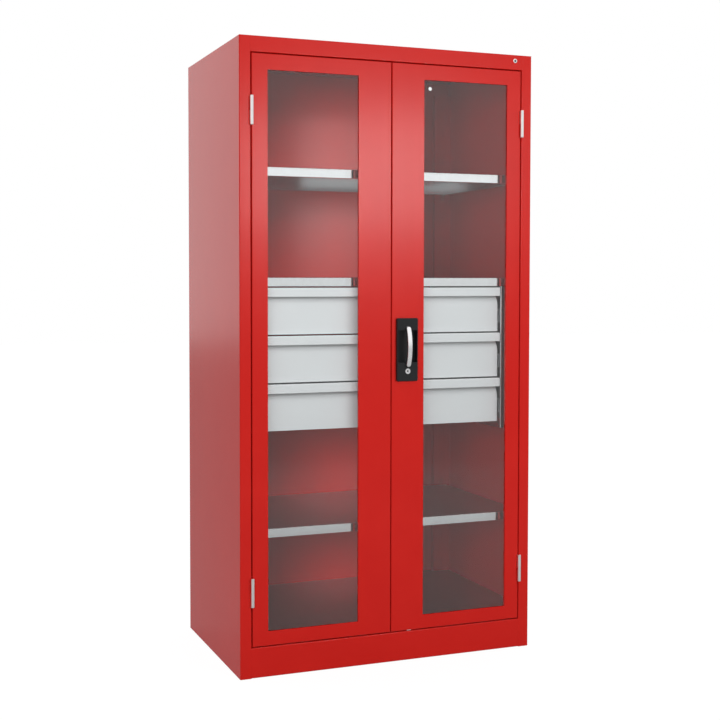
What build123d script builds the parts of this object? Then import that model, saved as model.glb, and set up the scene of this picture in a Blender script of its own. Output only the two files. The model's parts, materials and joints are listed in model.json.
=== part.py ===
from build123d import *
import os
from math import pi

# Heavy-duty storage cabinet: folded sheet-steel body, two swing doors with windows, galvanised
# shelves, a block of three drawers on telescopic runners, and a lever handle that drives two
# lock rods by a pinion. Millimetres, +X to the viewer's right, +Y to the back, +Z up.
# The origin is the bottom centre of the whole object's box, the handle's bow included.

# Cuts run this far past the faces that they open
CUT_OVER = 1.0

# Body
WIDTH = 1000.0
DEPTH = 600.0
HEIGHT = 1950.0
SHEET = 1.5
BEND = 2.5            # outside radius of a fold in a body sheet
STILE = 36.0          # face of the body beside the doors
HEADER = 48.0         # face of the body above the doors
PLINTH = 93.5         # top of the plinth below the doors
PLINTH_LIFT = 0.5     # plinth and back panel end this far above the ground
PLINTH_FLANGE = 25.0
SEAM = 0.05           # front sheets from the stiles that they meet
FILLER = 1.3          # front sheets reach this far over the round of a stile's fold
STOP_LIP = 12.0       # lip that the doors close against
STOP_CLEAR = 3.0      # door's back to the stop lip
FOOT_FLANGE = 25.0    # inward flange that the body stands on
BACK_RETURN = 20.0
TOP_BEVEL = 0.8
FLOOR_TOP = 125.0
FLOOR_BACK_LIP = 25.0
FIXING_INSET = 76.0   # wall-fixing hole from the outer side
FIXING_DROP = 21.0    # wall-fixing hole below the top
FIXING_RADIUS = 7.0
PLUG_INSET = 61.0     # blank plug on the header, from the outer side
PLUG_DROP = 19.0
PLUG_RADIUS = 7.0
PLUG_PROUD = 2.0

# Slotted uprights
UPRIGHT_WIDTH = 35.0
UPRIGHT_DEPTH = 12.0
UPRIGHT_SETBACK = 45.0   # front upright behind the front face
POST_WIDTH = 64.0
POST_DEPTH = 20.0
SLOT_PITCH = 100.0
SLOT_HEIGHT = 32.0
SLOT_WIDTH = 5.0
SLOT_MARGIN = 35.0

# Shelves
SHELF_SHEET = 1.2
SHELF_LIP = 27.0
SHELF_RETURN = 14.0
SHELF_BEVEL = 1.0
SHELF_SETBACK = 32.0     # shelf lip behind the front face
SHELF_CLEAR = 1.0
SHELF_STEP = 12.5
UPPER_SHELF_STEPS = 115
MIDDLE_SHELF_STEPS = 88
LOWER_SHELF_STEPS = 26
CLIP_SHEET = 2.0
CLIP_WIDTH = 18.0
CLIP_LEDGE = 12.0
CLIP_LEG = 20.0
CLIP_INSET = 2.0         # clip from the rear edge of its upright

# Doors
DOOR_GAP = 3.5
MEETING_GAP = 3.0
DOOR_DEPTH = 20.0
DOOR_SHEET = 1.2
DOOR_BEND = 2.0
WINDOW_HINGE_MARGIN = 50.0
WINDOW_MEETING_MARGIN = 111.0
WINDOW_TOP_MARGIN = 47.5
WINDOW_BOTTOM_MARGIN = 45.0
PANE = 4.0
PANE_OVERLAP = 14.0      # pane behind the skin, all round
SEAL = 1.5
SEAL_SETBACK = 1.0
REVEAL_SETBACK = 5.0     # inner frame's flange from the window's edge

# Hinges
HINGE_LENGTH = 86.0
HINGE_INSET = 171.5      # hinge's middle from the door's upper edge
HINGE_RISE = 168.0       # hinge's middle from the door's lower edge
KNUCKLE_RADIUS = 5.5
KNUCKLE_CLEAR = 1.0      # barrel from the front face
KNUCKLE_PLAY = 0.3       # between the two halves of a barrel
FOOT_CLEAR = 0.3         # knuckle's foot from the edge of its own side
PIN_RADIUS = 3.5
PIN_LENGTH = 36.0        # pin above the middle of its hinge
PIN_DEPTH = 20.0         # pin below it
RUNNING_FIT = 0.05

# Handle and lock
HANDLE_HEIGHT = 997.0    # middle of the housing above the ground
HANDLE_SHIFT = 5.0       # housing from the middle of the door's face towards the meeting gap
HOUSING_WIDTH = 72.0
HOUSING_HEIGHT = 200.0
HOUSING_PROUD = 11.0
HOUSING_CORNER = 5.0
HOUSING_BEVEL = 1.8
RECESS_WIDTH = 66.0
RECESS_TOP_MARGIN = 39.0
RECESS_BOTTOM_MARGIN = 60.0
RECESS_DEPTH = 18.0
TUB_WALL = 1.5
CUTOUT_CLEAR = 0.5
PIVOT_DROP = 31.0        # handle's pivot below the top of the housing
BOW_PROUD = 32.0         # outermost point of the bow in front of the doors
BOW_SPAN = 118.5
BOW_WIDTH = 14.4
BOW_THICK = 9.0
BOW_LIFT_OFF = 0.5       # bow's ends above the housing
BOW_BEVEL = 1.4
EYE_WIDTH = 8.0
EYE_RADIUS = 3.2
EYE_PLAY = 0.3
LIFT_PIN_RADIUS = 2.0
LIFT_PIN_SQUARE = 2.6    # pin's ends, held by the bow
SPINDLE_RADIUS = 5.0
SPINDLE_TAIL_RADIUS = 3.0
SPINDLE_SQUARE = 7.0
PINION_TEETH = 8
PINION_RADIUS = 9.6      # pitch radius
PINION_FACE = 4.0
TOOTH_RISE = 1.5         # tooth above the pitch line
TOOTH_FALL = 2.0         # gap below the pitch line
TOOTH_ROOT_HALF = 1.9
TOOTH_TIP_HALF = 0.8
RACK_TEETH = 5
ROD_WIDTH = 12.0
ROD_THICK = 3.0
ROD_SETBACK = 11.0       # rods behind the front face
ROD_PLAY = 0.4
ROD_TIP_CLEAR = 0.5      # rod's tip inside the door's edge
ROD_HOLE_CLEAR = 2.0
GUIDE_WIDTH = 22.0
GUIDE_HEIGHT = 16.0
GUIDE_MARGIN = 60.0      # outer guides from the door's edges
GUIDE_FROM_LOCK = 160.0
CASE_SHEET = 1.2
CASE_WIDTH = 64.0
CASE_ABOVE = 30.0        # lock case above the pivot
CASE_BELOW = 28.0
CASE_BACK = 15.6         # lock case's back plate behind the front face
BARREL_RADIUS = 8.5
BARREL_PROUD = 1.5
BARREL_LENGTH = 21.0
BARREL_RISE = 32.0       # lock barrel above the bottom of the housing
LOCK_PLUG_RADIUS = 6.0
LOCK_PLUG_SINK = 1.0     # plug's face inside the barrel
LOCK_PLUG_SQUARE = 4.5   # tail that carries the cam
KEYWAY_WIDTH = 1.6
KEYWAY_HEIGHT = 8.0
KEYWAY_DEPTH = 4.0
CAM_THICK = 2.0
CAM_WIDTH = 10.0
CAM_REACH = 14.0
CAM_PLAY = 0.3

# Drawers and runners
DRAWERS = 3
CARRIER_INSET = 84.0     # carrier's inner face from the outer side
CARRIER_SETBACK = 52.0
CARRIER_TOP_GAP = 1.0
CARRIER_BELOW = 23.0     # carrier below the lowest drawer front
CARRIER_REAR_FLANGE = 34.0
FRONT_SHEET = 1.2
FRONT_HEIGHT = 144.9
FRONT_GAP = 4.4
FRONT_SETBACK = 50.0     # drawer front's panel behind the front face
FRONT_SIDE_GAP = 8.0     # grip strip's end from the carrier
PANEL_SIDE_GAP = 10.0    # panel's edge from the carrier
PANEL_SHOULDER = 8.0     # rounded upper corner of the panel, across
PANEL_SHOULDER_DROP = 35.0
GRIP_REACH = 15.0        # grip strip in front of the panel
GRIP_HEIGHT = 28.0
GRIP_BEND = 3.0
TRAY_SHEET = 1.0
TRAY_HEIGHT = 100.0
TRAY_RISE = 6.0          # tray's base above the bottom of its front
TRAY_REAR_CLEAR = 26.0   # tray's back from the carrier's rear flange
TRAY_BEVEL = 1.0
RAIL_SPACE = 13.0        # carrier to tray
RAIL_HEIGHT = 45.0
RAIL_SHEET = 1.2
RAIL_PLAY = 0.4
RAIL_RISE = 45.0         # runner's middle above the tray's base
OUTER_RAIL_FLANGE = 9.0
MIDDLE_RAIL_FLANGE = 8.8
INNER_RAIL_FLANGE = 9.2
RAIL_END_CLEAR = 4.0

# Places worked out from the sizes above
FRONT = -DEPTH / 2 + BOW_PROUD / 2
BACK = FRONT + DEPTH
SIDE_X = WIDTH / 2
INNER_X = SIDE_X - SHEET
OPENING_X = SIDE_X - STILE
OPENING_TOP = HEIGHT - HEADER
STOP_Y = FRONT + DOOR_DEPTH + STOP_CLEAR
BACK_INNER_Y = BACK - 2 * SHEET
POST_FACE_Y = BACK_INNER_Y - POST_DEPTH
UPRIGHT_X = INNER_X - UPRIGHT_DEPTH
UPRIGHT_Y0 = FRONT + UPRIGHT_SETBACK
UPRIGHT_Y1 = UPRIGHT_Y0 + UPRIGHT_WIDTH
SHELF_X = UPRIGHT_X - SHELF_CLEAR
SHELF_Y0 = FRONT + SHELF_SETBACK
SHELF_Y1 = POST_FACE_Y - SHELF_CLEAR
SHELF_TOPS = {
    "upper": FLOOR_TOP + UPPER_SHELF_STEPS * SHELF_STEP,
    "middle": FLOOR_TOP + MIDDLE_SHELF_STEPS * SHELF_STEP,
    "lower": FLOOR_TOP + LOWER_SHELF_STEPS * SHELF_STEP,
}
DOOR_X0 = MEETING_GAP / 2
DOOR_X1 = OPENING_X - DOOR_GAP
DOOR_Z0 = PLINTH + DOOR_GAP
DOOR_Z1 = OPENING_TOP - DOOR_GAP
DOOR_BACK_Y = FRONT + DOOR_DEPTH
WINDOW_X0 = DOOR_X0 + WINDOW_MEETING_MARGIN
WINDOW_X1 = DOOR_X1 - WINDOW_HINGE_MARGIN
WINDOW_Z0 = DOOR_Z0 + WINDOW_BOTTOM_MARGIN
WINDOW_Z1 = DOOR_Z1 - WINDOW_TOP_MARGIN
PANE_Y0 = FRONT + DOOR_SHEET + SEAL
PANE_Y1 = PANE_Y0 + PANE
HINGE_X = OPENING_X - DOOR_GAP / 2
HINGE_Y = FRONT - KNUCKLE_CLEAR - KNUCKLE_RADIUS
HINGE_MIDDLES = [DOOR_Z1 - HINGE_INSET, DOOR_Z0 + HINGE_RISE]
HANDLE_X = (DOOR_X0 + WINDOW_X0) / 2 - HANDLE_SHIFT
HOUSING_Z0 = HANDLE_HEIGHT - HOUSING_HEIGHT / 2
HOUSING_Z1 = HANDLE_HEIGHT + HOUSING_HEIGHT / 2
HOUSING_FACE_Y = FRONT - HOUSING_PROUD
RECESS_Z0 = HOUSING_Z0 + RECESS_BOTTOM_MARGIN
RECESS_Z1 = HOUSING_Z1 - RECESS_TOP_MARGIN
RECESS_FLOOR_Y = HOUSING_FACE_Y + RECESS_DEPTH
PIVOT_Z = HOUSING_Z1 - PIVOT_DROP
LIFT_PIN_Y = HOUSING_FACE_Y - BOW_LIFT_OFF - BOW_THICK / 2
POCKET_WIDTH = EYE_WIDTH + 2 * EYE_PLAY
LOCK_Z = HOUSING_Z0 + BARREL_RISE
ROD_Y0 = FRONT + ROD_SETBACK
ROD_Y1 = ROD_Y0 + ROD_THICK
PINION_Y0 = (ROD_Y0 + ROD_Y1 - PINION_FACE) / 2
PINION_Y1 = PINION_Y0 + PINION_FACE
CASE_Y0 = FRONT + CASE_BACK
RACK_ROOT = PINION_RADIUS + TOOTH_FALL
ROD_OFFSET = RACK_ROOT + ROD_WIDTH / 2
CARRIER_X = SIDE_X - CARRIER_INSET
CARRIER_Y0 = FRONT + CARRIER_SETBACK
DRAWER_TOP = SHELF_TOPS["middle"] - SHELF_LIP - FRONT_GAP
DRAWER_PITCH = FRONT_HEIGHT + FRONT_GAP
DRAWER_BOTTOM = DRAWER_TOP - (DRAWERS - 1) * DRAWER_PITCH - FRONT_HEIGHT
TRAY_X = CARRIER_X - RAIL_SPACE
TRAY_Y0 = FRONT + FRONT_SETBACK + FRONT_SHEET
TRAY_Y1 = POST_FACE_Y - TRAY_REAR_CLEAR

parts = {}


def block(x0, x1, y0, y1, z0, z1):
    """A rectangular solid between two corners."""
    return Pos(x0, y0, z0) * Box(x1 - x0, y1 - y0, z1 - z0, align=(Align.MIN, Align.MIN, Align.MIN))


def bent_sheet(points, sheet, side, bend=0.0):
    """Section of a sheet folded along the points of its outer face, with the metal on one side."""
    path = FilletPolyline(*points, radius=bend) if bend else Polyline(*points)
    return make_face(offset(path, sheet, side=side, kind=Kind.INTERSECTION).edges())


def along_x(section, x0, x1):
    """A section drawn in Y and Z, extruded from x0 to x1."""
    return Pos(x0, 0, 0) * extrude(Plane.YZ * section, x1 - x0)


def along_y(section, y0, y1):
    """A section drawn in X and Z, extruded from y0 to y1."""
    return Pos(0, y1, 0) * extrude(Plane.XZ * section, y1 - y0)


def along_z(section, z0, z1):
    """A section drawn in X and Y, extruded from z0 to z1."""
    return Pos(0, 0, z0) * extrude(section, z1 - z0)


def rod_y(radius, x, z, y0, y1):
    """A round bar along Y."""
    return along_y(Pos(x, z) * Circle(radius), y0, y1)


def frame(x0, x1, z0, z1, wall, y0, y1):
    """A rectangular ring that lies outside a given opening."""
    ring = block(x0 - wall, x1 + wall, y0, y1, z0 - wall, z1 + wall)
    return ring - block(x0, x1, y0 - wall, y1 + wall, z0, z1)


def other_side(solid):
    return mirror(solid, about=Plane.YZ)


def group(solids):
    return Compound(children=[s.solid() for s in solids])


# Body

def side_panel():
    """Right side: back return, side, stile, door return and stop lip in one folded sheet."""
    section = bent_sheet(
        [(SIDE_X - BACK_RETURN, BACK), (SIDE_X, BACK), (SIDE_X, FRONT), (OPENING_X, FRONT),
         (OPENING_X, STOP_Y + SHEET)],
        SHEET, Side.RIGHT, BEND)
    panel = along_z(section, 0, HEIGHT - SHEET)
    panel += block(OPENING_X - STOP_LIP, OPENING_X + SHEET, STOP_Y, STOP_Y + SHEET,
                   PLINTH, OPENING_TOP - STOP_LIP)
    panel += block(INNER_X - FOOT_FLANGE, SIDE_X - SHEET / 2, FRONT + BEND, BACK_INNER_Y, 0, SHEET)
    return panel


def back_panel():
    half = INNER_X - (BEND - SHEET)
    panel = block(-half, half, BACK_INNER_Y, BACK - SHEET, PLINTH_LIFT, HEIGHT - SHEET)
    for x in (-SIDE_X + FIXING_INSET, SIDE_X - FIXING_INSET):
        panel -= rod_y(FIXING_RADIUS, x, HEIGHT - FIXING_DROP, BACK_INNER_Y - SHEET, BACK)
    return panel


def stile_fillers(z0, z1):
    """Fillers that carry a front sheet over the rounds of both stiles' folds."""
    filler = block(OPENING_X - SEAM, OPENING_X + FILLER, FRONT, FRONT + SHEET, z0, z1)
    fold = Pos(OPENING_X + BEND, FRONT + BEND) * Circle(BEND + SEAM)
    filler -= along_z(fold, z0 - CUT_OVER, z1 + CUT_OVER)
    return [filler, other_side(filler)]


def rod_hole(x, z0, z1):
    """Cut for a lock rod through a horizontal sheet."""
    half = ROD_WIDTH / 2 + ROD_HOLE_CLEAR
    return block(x - half, x + half, ROD_Y0 - ROD_HOLE_CLEAR, ROD_Y1 + ROD_HOLE_CLEAR, z0, z1)


def top_panel():
    """Top sheet over the sides, with the header, its return and the upper stop lip."""
    plate = block(-SIDE_X, SIDE_X, FRONT, BACK, HEIGHT - SHEET, HEIGHT)
    plate = chamfer(plate.faces().sort_by(Axis.Z)[-1].edges(), TOP_BEVEL)
    section = bent_sheet(
        [(FRONT, HEIGHT - SHEET), (FRONT, OPENING_TOP), (STOP_Y, OPENING_TOP),
         (STOP_Y, OPENING_TOP - STOP_LIP)],
        SHEET, Side.LEFT, BEND)
    header = along_x(section, SEAM - OPENING_X, OPENING_X - SEAM)
    header += stile_fillers(OPENING_TOP + BEND, HEIGHT - SHEET)
    header -= rod_hole(HANDLE_X - ROD_OFFSET, OPENING_TOP - SHEET, OPENING_TOP + 2 * SHEET)
    return plate + header


def floor_panel():
    front_y = STOP_Y + SHEET
    section = bent_sheet(
        [(front_y, PLINTH), (front_y, FLOOR_TOP), (BACK_INNER_Y, FLOOR_TOP),
         (BACK_INNER_Y, FLOOR_TOP - FLOOR_BACK_LIP)],
        SHEET, Side.RIGHT)
    return along_x(section, -INNER_X, INNER_X)


def plinth():
    """Plinth face with a lower flange and an upper flange that carries the floor's lip."""
    section = bent_sheet(
        [(FRONT + PLINTH_FLANGE, PLINTH_LIFT), (FRONT, PLINTH_LIFT), (FRONT, PLINTH),
         (STOP_Y + 2 * SHEET, PLINTH)],
        SHEET, Side.RIGHT, BEND)
    face = along_x(section, SEAM - OPENING_X, OPENING_X - SEAM)
    face += stile_fillers(PLINTH_LIFT + BEND, PLINTH - BEND)
    return face - rod_hole(HANDLE_X + ROD_OFFSET, PLINTH - 2 * SHEET, PLINTH + SHEET)


def slots(x, y, across, along):
    """Row of upright slots, one above the other."""
    first = FLOOR_TOP + SLOT_MARGIN
    count = int((OPENING_TOP - SLOT_MARGIN - first) // SLOT_PITCH) + 1
    return [Pos(x, y, first + i * SLOT_PITCH) * Box(across, along, SLOT_HEIGHT) for i in range(count)]


def front_upright():
    """Right front upright: a slotted hat section on the side."""
    section = bent_sheet(
        [(INNER_X, UPRIGHT_Y0), (UPRIGHT_X, UPRIGHT_Y0), (UPRIGHT_X, UPRIGHT_Y1), (INNER_X, UPRIGHT_Y1)],
        SHEET, Side.RIGHT)
    middle_y = (UPRIGHT_Y0 + UPRIGHT_Y1) / 2
    return along_z(section, FLOOR_TOP, OPENING_TOP) - slots(UPRIGHT_X, middle_y, 4 * SHEET, SLOT_WIDTH)


def rear_upright():
    """Right rear upright: a slotted post that closes the back corner."""
    x0 = INNER_X - POST_WIDTH
    section = bent_sheet(
        [(x0, BACK_INNER_Y), (x0, POST_FACE_Y), (INNER_X, POST_FACE_Y)],
        SHEET, Side.LEFT)
    middle_x = INNER_X - POST_WIDTH / 2
    return along_z(section, FLOOR_TOP, OPENING_TOP) - slots(middle_x, POST_FACE_Y, SLOT_WIDTH, 4 * SHEET)


def header_plug():
    """Blank plug on the header: a low round head."""
    return rod_y(PLUG_RADIUS, SIDE_X - PLUG_INSET, HEIGHT - PLUG_DROP, FRONT - PLUG_PROUD, FRONT)


# Shelves

def shelf(top):
    """Galvanised shelf: all four edges folded down and turned in."""
    t = SHELF_SHEET
    bottom = top - SHELF_LIP
    board = block(-SHELF_X, SHELF_X, SHELF_Y0, SHELF_Y1, bottom, top)
    board = chamfer(board.faces().sort_by(Axis.Z)[-1].edges(), SHELF_BEVEL)
    board -= block(-SHELF_X + t, SHELF_X - t, SHELF_Y0 + t, SHELF_Y1 - t, bottom + t, top - t)
    r = SHELF_RETURN
    return board - block(-SHELF_X + r, SHELF_X - r, SHELF_Y0 + r, SHELF_Y1 - r, bottom - t, bottom + 2 * t)


def shelf_clips():
    """Two front and two rear clips under each shelf."""
    front_y = UPRIGHT_Y1 - CLIP_INSET - CLIP_WIDTH / 2
    rear_x = INNER_X - POST_WIDTH / 2
    clips = []
    for top in SHELF_TOPS.values():
        z = top - SHELF_LIP
        ledge = CLIP_LEDGE + SHELF_CLEAR
        front = bent_sheet([(UPRIGHT_X, z - CLIP_LEG), (UPRIGHT_X, z), (UPRIGHT_X - ledge, z)],
                           CLIP_SHEET, Side.LEFT)
        rear = bent_sheet([(POST_FACE_Y, z - CLIP_LEG), (POST_FACE_Y, z), (POST_FACE_Y - ledge, z)],
                          CLIP_SHEET, Side.LEFT)
        pair = [along_y(front, front_y - CLIP_WIDTH / 2, front_y + CLIP_WIDTH / 2),
                along_x(rear, rear_x - CLIP_WIDTH / 2, rear_x + CLIP_WIDTH / 2)]
        clips += pair + [other_side(clip) for clip in pair]
    return group(clips)


# Doors

def door_skin():
    """Right door's front sheet with its edges folded back, and the window cut out."""
    t = DOOR_SHEET
    skin = block(DOOR_X0, DOOR_X1, FRONT, DOOR_BACK_Y, DOOR_Z0, DOOR_Z1)
    skin = fillet(skin.faces().sort_by(Axis.Y)[0].edges(), DOOR_BEND)
    skin -= block(DOOR_X0 + t, DOOR_X1 - t, FRONT + t, DOOR_BACK_Y + t, DOOR_Z0 + t, DOOR_Z1 - t)
    return skin - block(WINDOW_X0, WINDOW_X1, FRONT - t, FRONT + 2 * t, WINDOW_Z0, WINDOW_Z1)


def handle_cutouts():
    """Openings in the right door's skin for the handle's tub, spindle, lock and rods."""
    half = RECESS_WIDTH / 2 + TUB_WALL + CUTOUT_CLEAR
    y0 = FRONT - DOOR_SHEET
    y1 = FRONT + 2 * DOOR_SHEET
    cuts = [block(HANDLE_X - half, HANDLE_X + half, y0, y1,
                  RECESS_Z0 - TUB_WALL - CUTOUT_CLEAR, RECESS_Z1 + TUB_WALL + CUTOUT_CLEAR)]
    for z, radius in ((PIVOT_Z, SPINDLE_RADIUS), (LOCK_Z, BARREL_RADIUS)):
        half = radius + CUTOUT_CLEAR
        cuts.append(block(HANDLE_X - half, HANDLE_X + half, y0, y1, z - half, z + half))
    cuts.append(rod_hole(HANDLE_X - ROD_OFFSET, DOOR_Z1 - 2 * DOOR_SHEET, DOOR_Z1 + DOOR_SHEET))
    cuts.append(rod_hole(HANDLE_X + ROD_OFFSET, DOOR_Z0 - DOOR_SHEET, DOOR_Z0 + 2 * DOOR_SHEET))
    return cuts


def door_inner_frame():
    """Sheet that closes the door's back, with a flange that holds the pane."""
    t = DOOR_SHEET
    r = REVEAL_SETBACK
    plate = block(DOOR_X0 + t, DOOR_X1 - t, DOOR_BACK_Y - t, DOOR_BACK_Y, DOOR_Z0 + t, DOOR_Z1 - t)
    edge = (WINDOW_X0 - r, WINDOW_X1 + r, WINDOW_Z0 - r, WINDOW_Z1 + r)
    plate -= block(edge[0], edge[1], DOOR_BACK_Y - 2 * t, DOOR_BACK_Y + t, edge[2], edge[3])
    return plate + frame(*edge, t, PANE_Y1, DOOR_BACK_Y)


def window_pane():
    r = PANE_OVERLAP
    return block(WINDOW_X0 - r, WINDOW_X1 + r, PANE_Y0, PANE_Y1, WINDOW_Z0 - r, WINDOW_Z1 + r)


def window_seal():
    s = SEAL_SETBACK
    return frame(WINDOW_X0 - s, WINDOW_X1 + s, WINDOW_Z0 - s, WINDOW_Z1 + s, PANE_OVERLAP - s,
                 FRONT + DOOR_SHEET, PANE_Y0)


# Hinges

def on_hinge_axis(radius, z0, z1):
    """Round bar on the right hinges' axis."""
    return along_z(Pos(HINGE_X, HINGE_Y) * Circle(radius), z0, z1)


def knuckle(foot_x0, foot_x1, z0, z1):
    """Half of a right hinge barrel on a foot that is welded to the front."""
    return on_hinge_axis(KNUCKLE_RADIUS, z0, z1) + block(foot_x0, foot_x1, HINGE_Y, FRONT, z0, z1)


def pin_seats():
    """Holes for the pins, through the meeting faces of both halves."""
    return [on_hinge_axis(PIN_RADIUS + RUNNING_FIT, z - PIN_DEPTH - RUNNING_FIT, z + PIN_LENGTH + RUNNING_FIT)
            for z in HINGE_MIDDLES]


def hinge_frame_knuckles():
    """Lower halves, which hold the pins."""
    foot = (OPENING_X + FOOT_CLEAR, HINGE_X + KNUCKLE_RADIUS)
    halves = [knuckle(*foot, z - HINGE_LENGTH / 2, z - KNUCKLE_PLAY / 2) for z in HINGE_MIDDLES]
    return group([half - seat for half, seat in zip(halves, pin_seats())])


def hinge_door_knuckles():
    """Upper halves, which a door hangs by."""
    foot = (HINGE_X - KNUCKLE_RADIUS, DOOR_X1 - FOOT_CLEAR)
    halves = [knuckle(*foot, z + KNUCKLE_PLAY / 2, z + HINGE_LENGTH / 2) for z in HINGE_MIDDLES]
    return group([half - seat for half, seat in zip(halves, pin_seats())])


def hinge_pins():
    return group([on_hinge_axis(PIN_RADIUS, z - PIN_DEPTH, z + PIN_LENGTH) for z in HINGE_MIDDLES])


# Handle and lock

def handle_housing():
    """Black housing: a rounded plate with a finger tub, and bores for the spindle and the lock."""
    half = HOUSING_WIDTH / 2
    plate = block(HANDLE_X - half, HANDLE_X + half, HOUSING_FACE_Y, FRONT, HOUSING_Z0, HOUSING_Z1)
    plate = fillet(plate.edges().filter_by(Axis.Y), HOUSING_CORNER)
    plate = chamfer(plate.faces().sort_by(Axis.Y)[0].edges(), HOUSING_BEVEL)
    half = RECESS_WIDTH / 2
    wall = TUB_WALL
    tub = block(HANDLE_X - half - wall, HANDLE_X + half + wall, FRONT, RECESS_FLOOR_Y + wall,
                RECESS_Z0 - wall, RECESS_Z1 + wall)
    recess = block(HANDLE_X - half, HANDLE_X + half, HOUSING_FACE_Y - wall, RECESS_FLOOR_Y,
                   RECESS_Z0, RECESS_Z1)
    housing = plate + tub - recess
    y0 = HOUSING_FACE_Y - CUT_OVER
    y1 = FRONT + CUT_OVER
    housing -= rod_y(SPINDLE_RADIUS + RUNNING_FIT, HANDLE_X, PIVOT_Z, y0, y1)
    return housing - rod_y(BARREL_RADIUS, HANDLE_X, LOCK_Z, y0, y1)


def lift_bar(section, width):
    """Bar on the axis that the bow is lifted about."""
    return along_x(Pos(LIFT_PIN_Y, PIVOT_Z) * section, HANDLE_X - width / 2, HANDLE_X + width / 2)


def handle_spindle():
    """Spindle with an eye for the bow's pin in front, a square for the pinion and a tail behind."""
    shaft = rod_y(SPINDLE_RADIUS, HANDLE_X, PIVOT_Z, HOUSING_FACE_Y, PINION_Y0)
    square = Pos(HANDLE_X, PIVOT_Z) * Rectangle(SPINDLE_SQUARE, SPINDLE_SQUARE)
    shaft += along_y(square, PINION_Y0, PINION_Y1)
    shaft += rod_y(SPINDLE_TAIL_RADIUS, HANDLE_X, PIVOT_Z, PINION_Y1, CASE_Y0 + CASE_SHEET)
    shaft += lift_bar(Circle(EYE_RADIUS), EYE_WIDTH)
    shaft += block(HANDLE_X - EYE_WIDTH / 2, HANDLE_X + EYE_WIDTH / 2, LIFT_PIN_Y, HOUSING_FACE_Y,
                   PIVOT_Z - EYE_RADIUS, PIVOT_Z + EYE_RADIUS)
    return shaft - lift_bar(Circle(LIFT_PIN_RADIUS + RUNNING_FIT), BOW_WIDTH)


def lift_pin_ends():
    """Square bar that shapes the lift pin's ends and their seats in the bow."""
    return lift_bar(Rectangle(LIFT_PIN_SQUARE, LIFT_PIN_SQUARE), (POCKET_WIDTH + BOW_WIDTH) / 2)


def handle_lift_pin():
    return lift_bar(Circle(LIFT_PIN_RADIUS), POCKET_WIDTH) + lift_pin_ends()


def handle_bow():
    """Arched grip with rounded ends, and a pocket behind for the spindle's eye."""
    top = (LIFT_PIN_Y, PIVOT_Z)
    middle = (FRONT - BOW_PROUD + BOW_THICK / 2, PIVOT_Z - BOW_SPAN / 2)
    foot = (LIFT_PIN_Y, PIVOT_Z - BOW_SPAN)
    section = trace(ThreePointArc(top, middle, foot), BOW_THICK)
    section += [Pos(*end) * Circle(BOW_THICK / 2) for end in (top, foot)]
    bow = along_x(section, HANDLE_X - BOW_WIDTH / 2, HANDLE_X + BOW_WIDTH / 2)
    bow = chamfer(bow.faces().filter_by(Axis.X).edges(), BOW_BEVEL)
    reach = EYE_RADIUS + EYE_PLAY
    bow -= lift_bar(Circle(reach), POCKET_WIDTH)
    bow -= block(HANDLE_X - POCKET_WIDTH / 2, HANDLE_X + POCKET_WIDTH / 2, LIFT_PIN_Y - EYE_RADIUS / 2,
                 HOUSING_FACE_Y, PIVOT_Z - reach, PIVOT_Z + BOW_THICK)
    return bow - lift_pin_ends()


def tooth(root, tip):
    """A tapered tooth that points along +X from root to tip."""
    return make_face(Polyline((root, -TOOTH_ROOT_HALF), (tip, -TOOTH_TIP_HALF), (tip, TOOTH_TIP_HALF),
                              (root, TOOTH_ROOT_HALF), close=True))


def lock_pinion():
    root = PINION_RADIUS - TOOTH_FALL
    wheel = Circle(root)
    for i in range(PINION_TEETH):
        wheel += Rot(0, 0, i * 360 / PINION_TEETH) * tooth(root - TOOTH_TIP_HALF, PINION_RADIUS + TOOTH_RISE)
    wheel -= Rectangle(SPINDLE_SQUARE + 2 * RUNNING_FIT, SPINDLE_SQUARE + 2 * RUNNING_FIT)
    return along_y(Pos(HANDLE_X, PIVOT_Z) * wheel, PINION_Y0, PINION_Y1)


def lock_rod(side, z_end):
    """Flat rod from the pinion to a door edge, with rack teeth; side is -1 left or 1 right of it."""
    pitch = 2 * pi * PINION_RADIUS / PINION_TEETH
    direction = 1 if z_end > PIVOT_Z else -1
    z_start = PIVOT_Z - direction * RACK_TEETH * pitch / 2
    x0 = HANDLE_X + side * RACK_ROOT
    bar = Pos((x0 + HANDLE_X + side * (RACK_ROOT + ROD_WIDTH)) / 2, (z_start + z_end) / 2) * Rectangle(
        ROD_WIDTH, abs(z_end - z_start))
    turn = 180 if side > 0 else 0
    for i in range(RACK_TEETH - 1):
        z = PIVOT_Z + (i - (RACK_TEETH - 2) / 2) * pitch
        bar += Pos(x0, z) * Rot(0, 0, turn) * tooth(-TOOTH_TIP_HALF, TOOTH_FALL + TOOTH_RISE)
    return along_y(bar, ROD_Y0, ROD_Y1)


def rod_guides():
    """Plastic guides on the inside of the skin, each with a slot for its rod."""
    upper = [(HANDLE_X - ROD_OFFSET, z) for z in (PIVOT_Z + GUIDE_FROM_LOCK, DOOR_Z1 - GUIDE_MARGIN)]
    lower = [(HANDLE_X + ROD_OFFSET, z) for z in (HOUSING_Z0 - GUIDE_FROM_LOCK, DOOR_Z0 + GUIDE_MARGIN)]
    guides = []
    half = ROD_WIDTH / 2 + ROD_PLAY
    for x, z in upper + lower:
        body = block(x - GUIDE_WIDTH / 2, x + GUIDE_WIDTH / 2, FRONT + DOOR_SHEET, DOOR_BACK_Y - DOOR_SHEET,
                     z - GUIDE_HEIGHT / 2, z + GUIDE_HEIGHT / 2)
        guides.append(body - block(x - half, x + half, ROD_Y0 - ROD_PLAY, ROD_Y1 + ROD_PLAY,
                                   z - GUIDE_HEIGHT, z + GUIDE_HEIGHT))
    return group(guides)


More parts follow.
